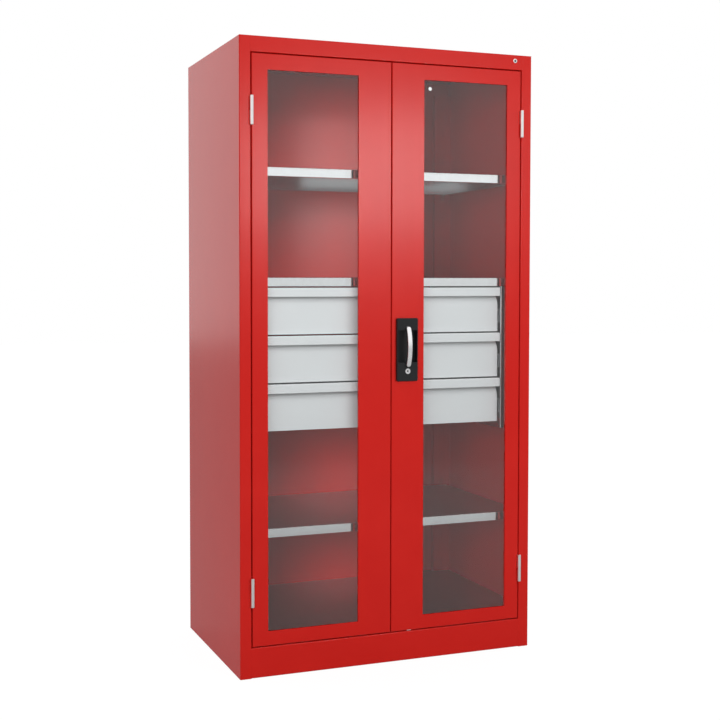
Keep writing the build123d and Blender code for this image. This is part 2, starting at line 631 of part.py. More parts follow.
def lock_case():
    """Bent bracket behind the pinion: it stands on the skin and bears the spindle's tail."""
    half = CASE_WIDTH / 2
    section = bent_sheet(
        [(HANDLE_X - half, FRONT + DOOR_SHEET), (HANDLE_X - half, CASE_Y0 + CASE_SHEET),
         (HANDLE_X + half, CASE_Y0 + CASE_SHEET), (HANDLE_X + half, FRONT + DOOR_SHEET)],
        CASE_SHEET, Side.RIGHT)
    case = along_z(section, PIVOT_Z - CASE_BELOW, PIVOT_Z + CASE_ABOVE)
    tub_top = RECESS_Z1 + TUB_WALL + CUTOUT_CLEAR
    case -= block(HANDLE_X - half, HANDLE_X + half, FRONT, RECESS_FLOOR_Y + TUB_WALL,
                  PIVOT_Z - CASE_BELOW, tub_top)
    return case - rod_y(SPINDLE_TAIL_RADIUS + RUNNING_FIT, HANDLE_X, PIVOT_Z,
                        CASE_Y0 - CUT_OVER, CASE_Y0 + CASE_SHEET + CUT_OVER)


def lock_barrel():
    y0 = HOUSING_FACE_Y - BARREL_PROUD
    y1 = y0 + BARREL_LENGTH
    barrel = rod_y(BARREL_RADIUS, HANDLE_X, LOCK_Z, y0, y1)
    return barrel - rod_y(LOCK_PLUG_RADIUS + RUNNING_FIT, HANDLE_X, LOCK_Z, y0 - CUT_OVER, y1 + CUT_OVER)


def lock_square(size, y0, y1):
    """Square bar on the lock's axis."""
    return along_y(Pos(HANDLE_X, LOCK_Z) * Rectangle(size, size), y0, y1)


def lock_plug():
    """Key plug, sunk into its barrel, with a keyway in front and a square tail for the cam."""
    y1 = HOUSING_FACE_Y - BARREL_PROUD + BARREL_LENGTH
    y0 = HOUSING_FACE_Y - BARREL_PROUD + LOCK_PLUG_SINK
    plug = rod_y(LOCK_PLUG_RADIUS, HANDLE_X, LOCK_Z, y0, y1)
    plug += lock_square(LOCK_PLUG_SQUARE, y1, y1 + CAM_PLAY + CAM_THICK)
    return plug - block(HANDLE_X - KEYWAY_WIDTH / 2, HANDLE_X + KEYWAY_WIDTH / 2,
                        y0 - CUT_OVER, y0 + KEYWAY_DEPTH,
                        LOCK_Z - KEYWAY_HEIGHT / 2, LOCK_Z + KEYWAY_HEIGHT / 2)


def lock_cam():
    y0 = HOUSING_FACE_Y - BARREL_PROUD + BARREL_LENGTH + CAM_PLAY
    y1 = y0 + CAM_THICK
    blade = Pos(HANDLE_X, LOCK_Z + CAM_REACH / 2) * Rectangle(CAM_WIDTH, CAM_REACH)
    blade += Pos(HANDLE_X, LOCK_Z) * Circle(CAM_WIDTH / 2)
    hole = lock_square(LOCK_PLUG_SQUARE + 2 * RUNNING_FIT, y0 - CUT_OVER, y1 + CUT_OVER)
    return along_y(blade, y0, y1) - hole


# Drawers

def drawer_carrier():
    """Right carrier: a web beside the drawers with flanges to the front and rear uprights."""
    section = bent_sheet(
        [(UPRIGHT_X, CARRIER_Y0), (CARRIER_X, CARRIER_Y0), (CARRIER_X, POST_FACE_Y),
         (CARRIER_X + CARRIER_REAR_FLANGE, POST_FACE_Y)],
        SHEET, Side.RIGHT)
    return along_z(section, DRAWER_BOTTOM - CARRIER_BELOW, SHELF_TOPS["middle"] - SHELF_LIP - CARRIER_TOP_GAP)


def drawer_front(top):
    """Front sheet: a panel with rounded shoulders, folded over at the top into a grip strip."""
    y = FRONT + FRONT_SETBACK
    bottom = top - FRONT_HEIGHT
    section = bent_sheet(
        [(y + FRONT_SHEET, bottom), (y + FRONT_SHEET, top), (y - GRIP_REACH, top),
         (y - GRIP_REACH, top - GRIP_HEIGHT)],
        FRONT_SHEET, Side.LEFT, GRIP_BEND)
    strip_x = CARRIER_X - FRONT_SIDE_GAP
    panel_x = CARRIER_X - PANEL_SIDE_GAP
    neck = top - GRIP_HEIGHT
    shoulder = neck - PANEL_SHOULDER_DROP
    sheet = along_x(section, -strip_x, strip_x)
    far_x = strip_x + CUT_OVER
    low_z = bottom - CUT_OVER
    trim = make_face(
        Polyline((panel_x - PANEL_SHOULDER, neck), (far_x, neck), (far_x, low_z), (panel_x, low_z),
                 (panel_x, shoulder)).edges()
        + TangentArc((panel_x, shoulder), (panel_x - PANEL_SHOULDER, neck), tangent=(0, 1)).edges())
    cut = along_y(trim, y - FRONT_SHEET, y + 2 * FRONT_SHEET)
    return sheet - cut - other_side(cut)


def drawer_tray(top):
    """Open tray behind the front."""
    base = top - FRONT_HEIGHT + TRAY_RISE
    t = TRAY_SHEET
    tray = block(-TRAY_X, TRAY_X, TRAY_Y0, TRAY_Y1, base, base + TRAY_HEIGHT)
    tray = chamfer(tray.faces().sort_by(Axis.Z)[0].edges(), TRAY_BEVEL)
    return tray - block(-TRAY_X + t, TRAY_X - t, TRAY_Y0 + t, TRAY_Y1 - t, base + t, base + TRAY_HEIGHT + t)


def runner_pair(x_web, half_height, flange, top, y0, y1):
    """Both C-shaped members at one level; the web is at x_web and the flanges point along flange."""
    z = top - FRONT_HEIGHT + TRAY_RISE + RAIL_RISE
    side = Side.RIGHT if flange < 0 else Side.LEFT
    section = bent_sheet(
        [(x_web + flange, z + half_height), (x_web, z + half_height), (x_web, z - half_height),
         (x_web + flange, z - half_height)],
        RAIL_SHEET, side)
    rail = along_y(section, y0, y1)
    return group([rail, other_side(rail)])


def drawer_runners(top):
    """Outer, middle and inner members of a drawer's two telescopic runners, nested with a little play."""
    step = RAIL_SHEET + RAIL_PLAY
    y0 = CARRIER_Y0 + RAIL_END_CLEAR
    outer = runner_pair(CARRIER_X, RAIL_HEIGHT / 2, -OUTER_RAIL_FLANGE, top, y0, TRAY_Y1)
    middle = runner_pair(CARRIER_X - step, RAIL_HEIGHT / 2 - step, -MIDDLE_RAIL_FLANGE, top, y0, TRAY_Y1)
    inner = runner_pair(TRAY_X, RAIL_HEIGHT / 2 - 2 * step, INNER_RAIL_FLANGE, top, y0, TRAY_Y1)
    return outer, middle, inner


def build():
    """All nodes of the cabinet by name."""
    for name, solid in {"side_panel": side_panel(), "drawer_carrier": drawer_carrier()}.items():
        parts[f"right_{name}"] = solid
        parts[f"left_{name}"] = other_side(solid)
    for name, solid in {"front": front_upright(), "rear": rear_upright()}.items():
        parts[f"{name}_right_upright"] = solid
        parts[f"{name}_left_upright"] = other_side(solid)
    parts["back_panel"] = back_panel()
    parts["top_panel"] = top_panel()
    parts["floor_panel"] = floor_panel()
    parts["plinth"] = plinth()
    parts["header_plug"] = header_plug()
    for name, top in SHELF_TOPS.items():
        parts[f"{name}_shelf"] = shelf(top)
    parts["shelf_clips"] = shelf_clips()

    skin = door_skin()
    parts["left_door_skin"] = other_side(skin)
    parts["right_door_skin"] = skin - handle_cutouts()
    for name, solid in {"inner_frame": door_inner_frame(), "pane": window_pane(),
                        "seal": window_seal()}.items():
        parts[f"right_door_{name}"] = solid
        parts[f"left_door_{name}"] = other_side(solid)
    for name, solid in {"frame_knuckles": hinge_frame_knuckles(),
                        "door_knuckles": hinge_door_knuckles(), "pins": hinge_pins()}.items():
        parts[f"right_hinge_{name}"] = solid
        parts[f"left_hinge_{name}"] = other_side(solid)

    parts["handle_housing"] = handle_housing()
    parts["handle_spindle"] = handle_spindle()
    parts["handle_lift_pin"] = handle_lift_pin()
    parts["handle_bow"] = handle_bow()
    parts["lock_pinion"] = lock_pinion()
    parts["upper_lock_rod"] = lock_rod(-1, DOOR_Z1 - ROD_TIP_CLEAR)
    parts["lower_lock_rod"] = lock_rod(1, DOOR_Z0 + ROD_TIP_CLEAR)
    parts["rod_guides"] = rod_guides()
    parts["lock_case"] = lock_case()
    parts["lock_barrel"] = lock_barrel()
    parts["lock_plug"] = lock_plug()
    parts["lock_cam"] = lock_cam()

    for i in range(DRAWERS):
        top = DRAWER_TOP - i * DRAWER_PITCH
        outer, middle, inner = drawer_runners(top)
        parts[f"drawer_{i + 1}_front"] = drawer_front(top)
        parts[f"drawer_{i + 1}_tray"] = drawer_tray(top)
        parts[f"drawer_{i + 1}_outer_rails"] = outer
        parts[f"drawer_{i + 1}_middle_rails"] = middle
        parts[f"drawer_{i + 1}_inner_rails"] = inner


build()
os.makedirs("parts", exist_ok=True)
for name, solid in parts.items():
    export_step(solid, f"parts/{name}.step")
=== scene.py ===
import json
from math import asin, radians

import bpy
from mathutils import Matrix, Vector


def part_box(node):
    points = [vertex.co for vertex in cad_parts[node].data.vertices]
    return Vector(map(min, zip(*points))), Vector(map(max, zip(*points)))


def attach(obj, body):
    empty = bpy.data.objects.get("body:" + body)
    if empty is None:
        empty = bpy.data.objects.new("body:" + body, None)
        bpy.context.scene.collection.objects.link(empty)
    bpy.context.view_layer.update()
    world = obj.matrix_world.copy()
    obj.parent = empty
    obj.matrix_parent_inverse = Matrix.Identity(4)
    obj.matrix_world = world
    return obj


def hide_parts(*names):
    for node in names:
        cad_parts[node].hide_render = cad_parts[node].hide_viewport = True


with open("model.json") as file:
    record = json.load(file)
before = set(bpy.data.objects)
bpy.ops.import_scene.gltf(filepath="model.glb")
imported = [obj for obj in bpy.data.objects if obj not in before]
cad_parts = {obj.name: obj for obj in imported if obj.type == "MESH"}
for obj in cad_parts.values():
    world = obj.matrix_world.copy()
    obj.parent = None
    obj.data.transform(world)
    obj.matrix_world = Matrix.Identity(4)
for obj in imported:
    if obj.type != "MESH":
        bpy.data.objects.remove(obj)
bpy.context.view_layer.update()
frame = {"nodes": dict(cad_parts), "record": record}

# Headings, and the two sides of the cabinet with their sign along X
TO_FRONT = Vector((0, -1, 0))
TO_RIGHT = Vector((1, 0, 0))
UP = Vector((0, 0, 1))
SIDES = (("left", -1), ("right", 1))

# Paint: patterns as grains per metre and detail, their sway on the roughness, and a thin clear coat
PAINT_CLOUDS = (9.0, 2.0)
PAINT_SHINE = (60.0, 2.0)
PAINT_SWAY = (-0.03, 0.03)
PAINT_PEEL = (700.0, 1.0)
PEEL_STRENGTH = 0.015
PEEL_HEIGHT = 0.0002
COAT_IOR = 1.1
COAT_ROUGHNESS = 0.15

# Plated and galvanised steel
PLATE_CLOUDS = (45.0, 4.0)
PLATE_SHINE = (120.0, 3.0)
PLATE_SWAY = (-0.05, 0.08)
SHEET_SWAY = (-0.04, 0.06)
FLAT_PAINTED_SHADE = 0.55        # painted shade: share of the colour left on the upward-facing flats of the shelves
FLAT_ROUGHER = 0.2

# Moulded plastic and rubber
MOULD_GRAIN = (2200.0, 2.0)
MOULD_SWAY = (-0.05, 0.05)
MOULD_STRENGTH = 0.25
MOULD_HEIGHT = 0.0002
MOULD_SPECULAR = 0.3

# Panes
PANE_TINT = (0.96, 0.97, 0.97)
PANE_SHADOW = (0.98, 0.99, 0.99)
PANE_IOR = 1.5

# Round heads: sides, degrees, and below for each kind its steps as (draw in, move out) in metres
HEAD_SIDES = 32
FINE_SIDES = 48
SMOOTH_ANGLE = 35
FACING = 0.9             # least share of its heading at which a face counts as the front one

# Hinges: whole length, and the low domes on their ends
HINGE_LENGTH = 0.086
KNUCKLE_RADIUS = 0.0055
CAP_BASE = 0.0003
CAP_STEPS = ((0.0005, 0.0006), (0.0011, 0.0006), (0.0016, 0.0003))

# Blank plug on the header: dished rim, and a black disc as painted shade of its middle hole
PLUG_BASE = 0.0010
PLUG_STEPS = ((0.0006, 0.0006), (0.0022, 0.0002), (0.0008, -0.0012))
HOLE_SHADE_RADIUS = 0.0030
HOLE_SHADE_STEPS = ((0.0005, 0.0004), (0.0010, 0.0002))

# Lock: bright face on the plug round a black disc, which is painted shade of the keyway
FACE_GAP = 0.0002
FACE_BASE = 0.0003
FACE_STEPS = ((0.0004, 0.0003), (0.0020, 0.0), (0.0004, -0.0003))
KEYWAY_SHADE_RADIUS = 0.0028
KEYWAY_SHADE_STEPS = ((0.0004, 0.0002), (0.0008, 0.0))

# Rubber buffers on the lips that the doors close against
BUFFER_RADIUS = 0.0035
BUFFER_INSET = 0.0040
BUFFER_SHARES = (0.12, 0.5, 0.88)
BUFFER_BASE = 0.0014
BUFFER_STEPS = ((0.0005, 0.0006), (0.0011, 0.0003))
BUFFER_SIDES = 24
STOP_GAP = 0.003         # closed door to the lip

# Rivets that hold the inner rails to the drawers
RIVET_RADIUS = 0.0032
RIVET_SHARES = (0.06, 0.35, 0.65, 0.94)
RIVET_BASE = 0.0003
RIVET_STEPS = ((0.0005, 0.0005), (0.0010, 0.0003))
RIVET_SIDES = 16
RAIL_FLANGE = 0.0092
RAIL_SHEET = 0.0012

# Rolled front edges of the plates that carry the drawers
EDGE_ROLL = 0.0050
EDGE_ROUND = 0.0046
EDGE_SEGMENTS = 8

# Bow of the handle: a bar with round ends and soft edges, bent to its arch
BOW_THICK = 0.0090
BOW_TIP = 0.0031         # bar beyond the middle of each end
BOW_END_ROUND = 0.0062
BOW_END_SEGMENTS = 6
BOW_EDGE = 0.0026
BOW_EDGE_SEGMENTS = 4
BOW_EDGE_ANGLE = 40      # degrees
BOW_CUTS = 32
POCKET_WIDTH = 0.0086    # room behind the bow for the spindle's eye
POCKET_REACH = 0.0035
POCKET_FRONT = 0.0016
POCKET_TOP = 0.0090
POCKET_BACK = 0.0100
POCKET_SIDES = 24
MERGE = 1e-6             # points nearer than this become one

# Surround: its white for sight, its gloss low in front, and its light from the back
WORLD_WHITE = 1.0
FRONT_GLOSS = 0.70
HIGH_GLOSS = 0.05        # height of a heading above which the gloss is all white
BACK_LIGHT = 1.46

# Softboxes: watts, places and aims, and widths and heights, in metres
FRONT_MIDDLE = (0.0, -0.3, 1.3)
KEY_POWER = 82
KEY_PLACE = (1.6, -4.2, 1.75)
KEY_SIZE = (2.0, 1.2)
FILL_POWER = 106
FILL_PLACE = (-3.0, -5.0, 1.8)
FILL_SIZE = (2.4, 2.0)
WALL_POWER = 140
WALL_PLACE = (2.7, -2.9, 2.6)
WALL_AIM = (0.0, 0.3, 1.4)
WALL_SIZE = (2.4, 1.2)
SHEEN_POWER = 64
SHEEN_PLACE = (1.45, -4.2, 1.95)
SHEEN_AIM = (-0.1, -0.3, 1.55)
SHEEN_SIZE = (1.5, 0.75)
DRAWER_POWER = 60
DRAWER_PLACE = (-0.35, -2.1, 2.35)
DRAWER_AIM = (0.0, -0.27, 0.95)
DRAWER_SIZE = (3.0, 2.0)

# Floor: a grey that takes shadows, and the share of plain white in it for sight, panes and paint
FLOOR_SIZE = 40
FLOOR_DROP = 0.001
FLOOR_GREY = (0.34, 0.34, 0.34)
FLOOR_ROUGHNESS = 0.9
FLOOR_GLOW = 1.2
SIGHT_SHARE = 0.8
PANE_SHARE = 0.85
PAINT_SHARE = 0.18

# Camera: metres, degrees and millimetres
CAMERA_PLACE = (-1.5589, -3.7457, 1.2099)
CAMERA_YAW = 20.653
CAMERA_PITCH = 2.153
CAMERA_LENS = 60.061
CAMERA_SENSOR = 36
CAMERA_SHIFT = (0.061, -0.045)


# Nodes of the finishes

def finish_base(name, colour, roughness, metallic=0.0, specular=0.5):
    """A new Principled material; returns it with its node tree and shader."""
    material = bpy.data.materials.new(name)
    material.use_nodes = True
    tree = material.node_tree
    shader = tree.nodes["Principled BSDF"]
    shader.inputs["Base Color"].default_value = (*colour, 1)
    shader.inputs["Roughness"].default_value = roughness
    shader.inputs["Metallic"].default_value = metallic
    shader.inputs["Specular IOR Level"].default_value = specular
    return material, tree, shader


def reckon(tree, operation, *terms):
    """One step of arithmetic on the surface; a term is a number or another node's output."""
    node = tree.nodes.new("ShaderNodeMath")
    node.operation = operation
    for socket, term in zip(node.inputs, terms):
        if isinstance(term, float):
            socket.default_value = term
        else:
            tree.links.new(term, socket)
    return node.outputs[0]


def either_of(tree, first, second):
    """1 where either of two rays' marks is 1, or the larger of two shares."""
    return reckon(tree, "MAXIMUM", first, second)


def both_of(tree, first, second):
    """1 where a ray's mark and a second mark or count are both at least 1."""
    return reckon(tree, "MINIMUM", first, second)


def between(tree, source, low, high, start=0.0, stop=1.0):
    """Runs from one level to another as the source goes from start to stop; a level may be a socket."""
    node = tree.nodes.new("ShaderNodeMapRange")
    node.inputs["From Min"].default_value = start
    node.inputs["From Max"].default_value = stop
    tree.links.new(source, node.inputs["Value"])
    for name, level in (("To Min", low), ("To Max", high)):
        if isinstance(level, float):
            node.inputs[name].default_value = level
        else:
            tree.links.new(level, node.inputs[name])
    return node.outputs["Result"]


def object_noise(tree, scale, detail):
    """Noise on the piece's own coordinates; scale is in grains per metre."""
    place = tree.nodes.new("ShaderNodeTexCoord")
    noise = tree.nodes.new("ShaderNodeTexNoise")
    noise.inputs["Scale"].default_value = scale
    noise.inputs["Detail"].default_value = detail
    tree.links.new(place.outputs["Object"], noise.inputs["Vector"])
    return noise.outputs["Fac"]


def grain(tree, shader, source, strength, height):
    """Bump from a pattern, with its height in metres."""
    bump = tree.nodes.new("ShaderNodeBump")
    bump.inputs["Strength"].default_value = strength
    bump.inputs["Distance"].default_value = height
    tree.links.new(source, bump.inputs["Height"])
    tree.links.new(bump.outputs["Normal"], shader.inputs["Normal"])


def clouds(tree, source, dark, light):
    """A colour that drifts between two near shades."""
    ramp = tree.nodes.new("ShaderNodeValToRGB")
    ramp.color_ramp.elements[0].color = (*dark, 1)
    ramp.color_ramp.elements[1].color = (*light, 1)
    tree.links.new(source, ramp.inputs["Fac"])
    return ramp.outputs["Color"]


# Finishes

def powder_coat(name, dark, light, roughness, specular):
    """Baked paint with a faint orange peel under a thin gloss."""
    material, tree, shader = finish_base(name, light, roughness, specular=specular)
    colour = clouds(tree, object_noise(tree, *PAINT_CLOUDS), dark, light)
    tree.links.new(colour, shader.inputs["Base Color"])
    shader.inputs["Coat Weight"].default_value = 1.0
    shader.inputs["Coat IOR"].default_value = COAT_IOR
    shader.inputs["Coat Roughness"].default_value = COAT_ROUGHNESS
    shine = between(tree, object_noise(tree, *PAINT_SHINE), *(roughness + sway for sway in PAINT_SWAY))
    tree.links.new(shine, shader.inputs["Roughness"])
    grain(tree, shader, object_noise(tree, *PAINT_PEEL), PEEL_STRENGTH, PEEL_HEIGHT)
    return material


def plated_steel(name, dark, light, roughness):
    """Plated steel, cloudy in colour and gloss."""
    material, tree, shader = finish_base(name, light, roughness, metallic=1.0)
    colour = clouds(tree, object_noise(tree, *PLATE_CLOUDS), dark, light)
    tree.links.new(colour, shader.inputs["Base Color"])
    shine = between(tree, object_noise(tree, *PLATE_SHINE), *(roughness + sway for sway in PLATE_SWAY))
    tree.links.new(shine, shader.inputs["Roughness"])
    return material


def galvanised_sheet(name, dark, light, roughness):
    """Bright zinc sheet, rougher on its upward-facing flats than on its lips, and darker there by painted
    shade.
    """
    material, tree, shader = finish_base(name, light, roughness, metallic=1.0)
    heading = tree.nodes.new("ShaderNodeSeparateXYZ")
    tree.links.new(tree.nodes.new("ShaderNodeNewGeometry").outputs["Normal"], heading.inputs[0])
    flat = reckon(tree, "MAXIMUM", heading.outputs["Z"], 0.0)
    # Painted shade: the colour darkens on faces that face up, the more the further they face up
    shade = tree.nodes.new("ShaderNodeMix")
    shade.data_type = "RGBA"
    shade.blend_type = "MULTIPLY"
    shade.inputs["B"].default_value = (FLAT_PAINTED_SHADE, FLAT_PAINTED_SHADE, FLAT_PAINTED_SHADE, 1)
    tree.links.new(flat, shade.inputs["Factor"])
    tree.links.new(clouds(tree, object_noise(tree, *PLATE_CLOUDS), dark, light), shade.inputs["A"])
    tree.links.new(shade.outputs["Result"], shader.inputs["Base Color"])
    shine = between(tree, object_noise(tree, *PLATE_SHINE), *(roughness + sway for sway in SHEET_SWAY))
    tree.links.new(reckon(tree, "MULTIPLY_ADD", flat, FLAT_ROUGHER, shine), shader.inputs["Roughness"])
    return material


def moulded_plastic(name, colour, roughness):
    """Dark plastic or rubber with a fine moulded grain."""
    material, tree, shader = finish_base(name, colour, roughness, specular=MOULD_SPECULAR)
    fine = object_noise(tree, *MOULD_GRAIN)
    shine = between(tree, fine, *(roughness + sway for sway in MOULD_SWAY))
    tree.links.new(shine, shader.inputs["Roughness"])
    grain(tree, shader, fine, MOULD_STRENGTH, MOULD_HEIGHT)
    return material


def tinted_glass(name):
    """Clear pane that lets lamps and soft light through to the shelves."""
    material, tree, shader = finish_base(name, PANE_TINT, 0.0)
    shader.inputs["Transmission Weight"].default_value = 1.0
    shader.inputs["IOR"].default_value = PANE_IOR
    clear = tree.nodes.new("ShaderNodeBsdfTransparent")
    clear.inputs["Color"].default_value = (*PANE_SHADOW, 1)
    rays = tree.nodes.new("ShaderNodeLightPath").outputs
    mix = tree.nodes.new("ShaderNodeMixShader")
    tree.links.new(either_of(tree, rays["Is Shadow Ray"], rays["Is Diffuse Ray"]), mix.inputs[0])
    tree.links.new(shader.outputs[0], mix.inputs[1])
    tree.links.new(clear.outputs[0], mix.inputs[2])
    tree.links.new(mix.outputs[0], tree.nodes["Material Output"].inputs["Surface"])
    return material


# Each slot's finish: its darker and lighter shade, its roughness, and the paints' gloss
FINISHES = {
    "red_paint": powder_coat(
        "red_powder_coat", (0.58, 0.013, 0.0095), (0.63, 0.017, 0.012), 0.25, 0.12),
    "drawer_grey": powder_coat(
        "light_grey_powder_coat", (0.71, 0.73, 0.74), (0.76, 0.78, 0.79), 0.38, 0.4),
    "galvanised_steel": galvanised_sheet(
        "galvanised_sheet", (0.86, 0.88, 0.89), (0.94, 0.96, 0.97), 0.12),
    "zinc_steel": plated_steel(
        "zinc_plate", (0.45, 0.47, 0.48), (0.62, 0.64, 0.65), 0.30),
    "hinge_steel": plated_steel(
        "bright_hinge_steel", (0.82, 0.81, 0.80), (0.92, 0.91, 0.90), 0.30),
    "satin_chrome": plated_steel(
        "satin_chrome_plate", (0.90, 0.90, 0.91), (0.95, 0.95, 0.96), 0.28),
    "black_plastic": moulded_plastic("black_grained_plastic", (0.010, 0.011, 0.012), 0.45),
    "black_rubber": moulded_plastic("black_seal_rubber", (0.012, 0.012, 0.012), 0.65),
    "tinted_glass": tinted_glass("clear_pane"),
}


def dress_nodes():
    """Every sheet, pin and pane of the cabinet takes the finish of its slot."""
    for row in frame["record"]["subparts"]:
        node = frame["nodes"][row["node"]]
        for slot in node.material_slots:
            slot.material = FINISHES[row["material_slot"]]


# Modelling steps

def select_none(kind):
    """Nothing selected in the active piece, ready for faces or edges to be picked."""
    bpy.ops.object.mode_set(mode="EDIT")
    bpy.ops.mesh.select_mode(type=kind)
    bpy.ops.mesh.select_all(action="DESELECT")
    bpy.ops.object.mode_set(mode="OBJECT")


def select_faces(piece, wanted):
    """Leaves the piece in edit mode with only the faces selected that pass a test."""
    select_none("FACE")
    for face in piece.data.polygons:
        face.select = wanted(face)
    bpy.ops.object.mode_set(mode="EDIT")


def select_edges(piece, wanted):
    """Leaves the piece in edit mode with only the edges selected whose two ends pass a test."""
    select_none("EDGE")
    for edge in piece.data.edges:
        edge.select = wanted(*(piece.data.vertices[i].co for i in edge.vertices))
    bpy.ops.object.mode_set(mode="EDIT")


def block(place, size):
    """A block with its size in its mesh, to be shaped further."""
    bpy.ops.object.select_all(action="DESELECT")
    bpy.ops.mesh.primitive_cube_add(size=1, location=place)
    bpy.context.object.scale = size
    bpy.ops.object.transform_apply(location=False, rotation=False, scale=True)
    return bpy.context.object


def block_between(low, high):
    """A block from one corner to another."""
    return block((low + high) / 2, high - low)


def pick(piece):
    """Selects one piece alone and makes it the active one."""
    bpy.ops.object.select_all(action="DESELECT")
    piece.select_set(True)
    bpy.context.view_layer.objects.active = piece


def shape_by(piece, kind, **settings):
    """Gives the piece a modifier and applies it."""
    pick(piece)
    modifier = piece.modifiers.new(kind.lower(), kind)
    for name, value in settings.items():
        setattr(modifier, name, value)
    bpy.ops.object.modifier_apply(modifier=modifier.name)


def settle(piece, name, body, slot):
    """Puts a finished piece's place into its mesh, dresses it and lets it ride on its body."""
    bpy.ops.object.mode_set(mode="OBJECT")
    bpy.ops.object.transform_apply(location=True, rotation=True, scale=True)
    bpy.ops.object.shade_smooth_by_angle(angle=radians(SMOOTH_ANGLE))
    piece.name = name
    piece.data.name = name
    piece.data.materials.append(FINISHES[slot])
    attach(piece, body)


def turned_heads(slot, radius, base, steps, seats, sides=HEAD_SIDES):
    """Round heads, modelled once and copied: a low drum whose face is drawn in and moved out, step by step.
    A seat gives a head's name and body, the middle of its foot, and its heading."""
    bpy.ops.object.select_all(action="DESELECT")
    bpy.ops.mesh.primitive_cylinder_add(vertices=sides, radius=radius, depth=base)
    heads = [bpy.context.object]
    select_faces(heads[0], lambda face: face.normal.z > FACING)
    for draw_in, rise in steps:
        bpy.ops.mesh.inset(thickness=draw_in, depth=rise)
    bpy.ops.object.mode_set(mode="OBJECT")
    for _ in seats[1:]:
        bpy.ops.object.duplicate()
        heads.append(bpy.context.object)
    for head, (name, body, foot, heading) in zip(heads, seats):
        pick(head)
        head.location = foot + heading * (base / 2)
        head.rotation_euler = heading.to_track_quat("Z", "Y").to_euler()
        settle(head, name, body, slot)
    return heads


# Pieces

def hinge_caps():
    """Low domes on both ends of each hinge barrel."""
    seats = []
    for side, _ in SIDES:
        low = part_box(f"{side}_hinge_frame_knuckles")[0]
        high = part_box(f"{side}_hinge_door_knuckles")[1]
        x = (low[0] + high[0]) / 2
        y = low[1] + KNUCKLE_RADIUS
        for hinge, bottom in (("lower", low[2]), ("upper", high[2] - HINGE_LENGTH)):
            foot = Vector((x, y, bottom))
            top = Vector((x, y, bottom + HINGE_LENGTH))
            seats.append((f"{side}_{hinge}_hinge_top_cap", f"{side}_door", top, UP))
            seats.append((f"{side}_{hinge}_hinge_foot_cap", "cabinet", foot, -UP))
    turned_heads("hinge_steel", KNUCKLE_RADIUS, CAP_BASE, CAP_STEPS, seats)


def header_plug():
    """Blank plug with a dished rim, and a black disc in its middle as painted shade of its hole."""
    low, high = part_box("header_plug")
    back = Vector(((low[0] + high[0]) / 2, high[1], (low[2] + high[2]) / 2))
    rims = turned_heads("satin_chrome", (high[0] - low[0]) / 2, PLUG_BASE, PLUG_STEPS,
                        [("header_plug_rim", "cabinet", back, TO_FRONT)], sides=FINE_SIDES)
    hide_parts("header_plug")
    # Painted shade: a black disc where the plug's middle hole is dark
    turned_heads("black_plastic", HOLE_SHADE_RADIUS, PLUG_BASE / 2, HOLE_SHADE_STEPS,
                 [("header_plug_hole_shade", "cabinet", back + TO_FRONT * (PLUG_BASE / 2), TO_FRONT)])


def lock_face():
    """Bright face of the key plug, with a black disc over its keyway as painted shade of the keyway."""
    low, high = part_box("lock_plug")
    radius = (high[0] - low[0]) / 2 - FACE_GAP
    middle = Vector(((low[0] + high[0]) / 2, low[1], (low[2] + high[2]) / 2))
    turned_heads("satin_chrome", radius, FACE_BASE, FACE_STEPS,
                 [("lock_plug_face", "key_plug", middle, TO_FRONT)], sides=FINE_SIDES)
    # Painted shade: a black disc where the keyway's hollow is dark
    turned_heads("black_plastic", KEYWAY_SHADE_RADIUS, FACE_BASE, KEYWAY_SHADE_STEPS,
                 [("lock_plug_keyway_shade", "key_plug", middle, TO_FRONT)])


def door_buffers():
    """Rubber buffers that the closed doors rest against."""
    seats = []
    for side, sign in SIDES:
        low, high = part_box(f"{side}_door_skin")
        x = sign * (max(abs(low[0]), abs(high[0])) - BUFFER_INSET)
        for i, share in enumerate(BUFFER_SHARES, start=1):
            foot = Vector((x, high[1] + STOP_GAP, low[2] + share * (high[2] - low[2])))
            seats.append((f"{side}_door_buffer_{i}", "cabinet", foot, TO_FRONT))
    turned_heads("black_rubber", BUFFER_RADIUS, BUFFER_BASE, BUFFER_STEPS, seats, sides=BUFFER_SIDES)


def rail_rivets():
    """Rivet heads inside each drawer's inner rails."""
    seats = []
    for drawer in ("drawer_1", "drawer_2", "drawer_3"):
        low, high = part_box(f"{drawer}_inner_rails")
        for (side, sign), edge in zip(SIDES, (low[0], high[0])):
            x = edge - sign * (RAIL_FLANGE - RAIL_SHEET)
            for i, share in enumerate(RIVET_SHARES, start=1):
                foot = Vector((x, low[1] + share * (high[1] - low[1]), (low[2] + high[2]) / 2))
                seats.append((f"{drawer}_{side}_rivet_{i}", drawer, foot, TO_RIGHT * sign))
    turned_heads("zinc_steel", RIVET_RADIUS, RIVET_BASE, RIVET_STEPS, seats, sides=RIVET_SIDES)


def carrier_edges():
    """Rolled edges where the drawers' carriers turn to the front."""
    for side, sign in SIDES:
        low, high = (Vector(corner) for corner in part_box(f"{side}_drawer_carrier"))
        inner = sign * min(abs(low.x), abs(high.x))
        edge = block((inner + sign * EDGE_ROLL / 2, low.y - EDGE_ROLL / 2, (low.z + high.z) / 2),
                     (EDGE_ROLL, EDGE_ROLL, high.z - low.z))
        select_edges(edge, lambda a, b: all(end.x * sign < 0 and end.y < 0 for end in (a, b)))
        bpy.ops.mesh.bevel(offset=EDGE_ROUND, segments=EDGE_SEGMENTS, affect="EDGES")
        settle(edge, f"{side}_carrier_edge", "cabinet", "galvanised_steel")


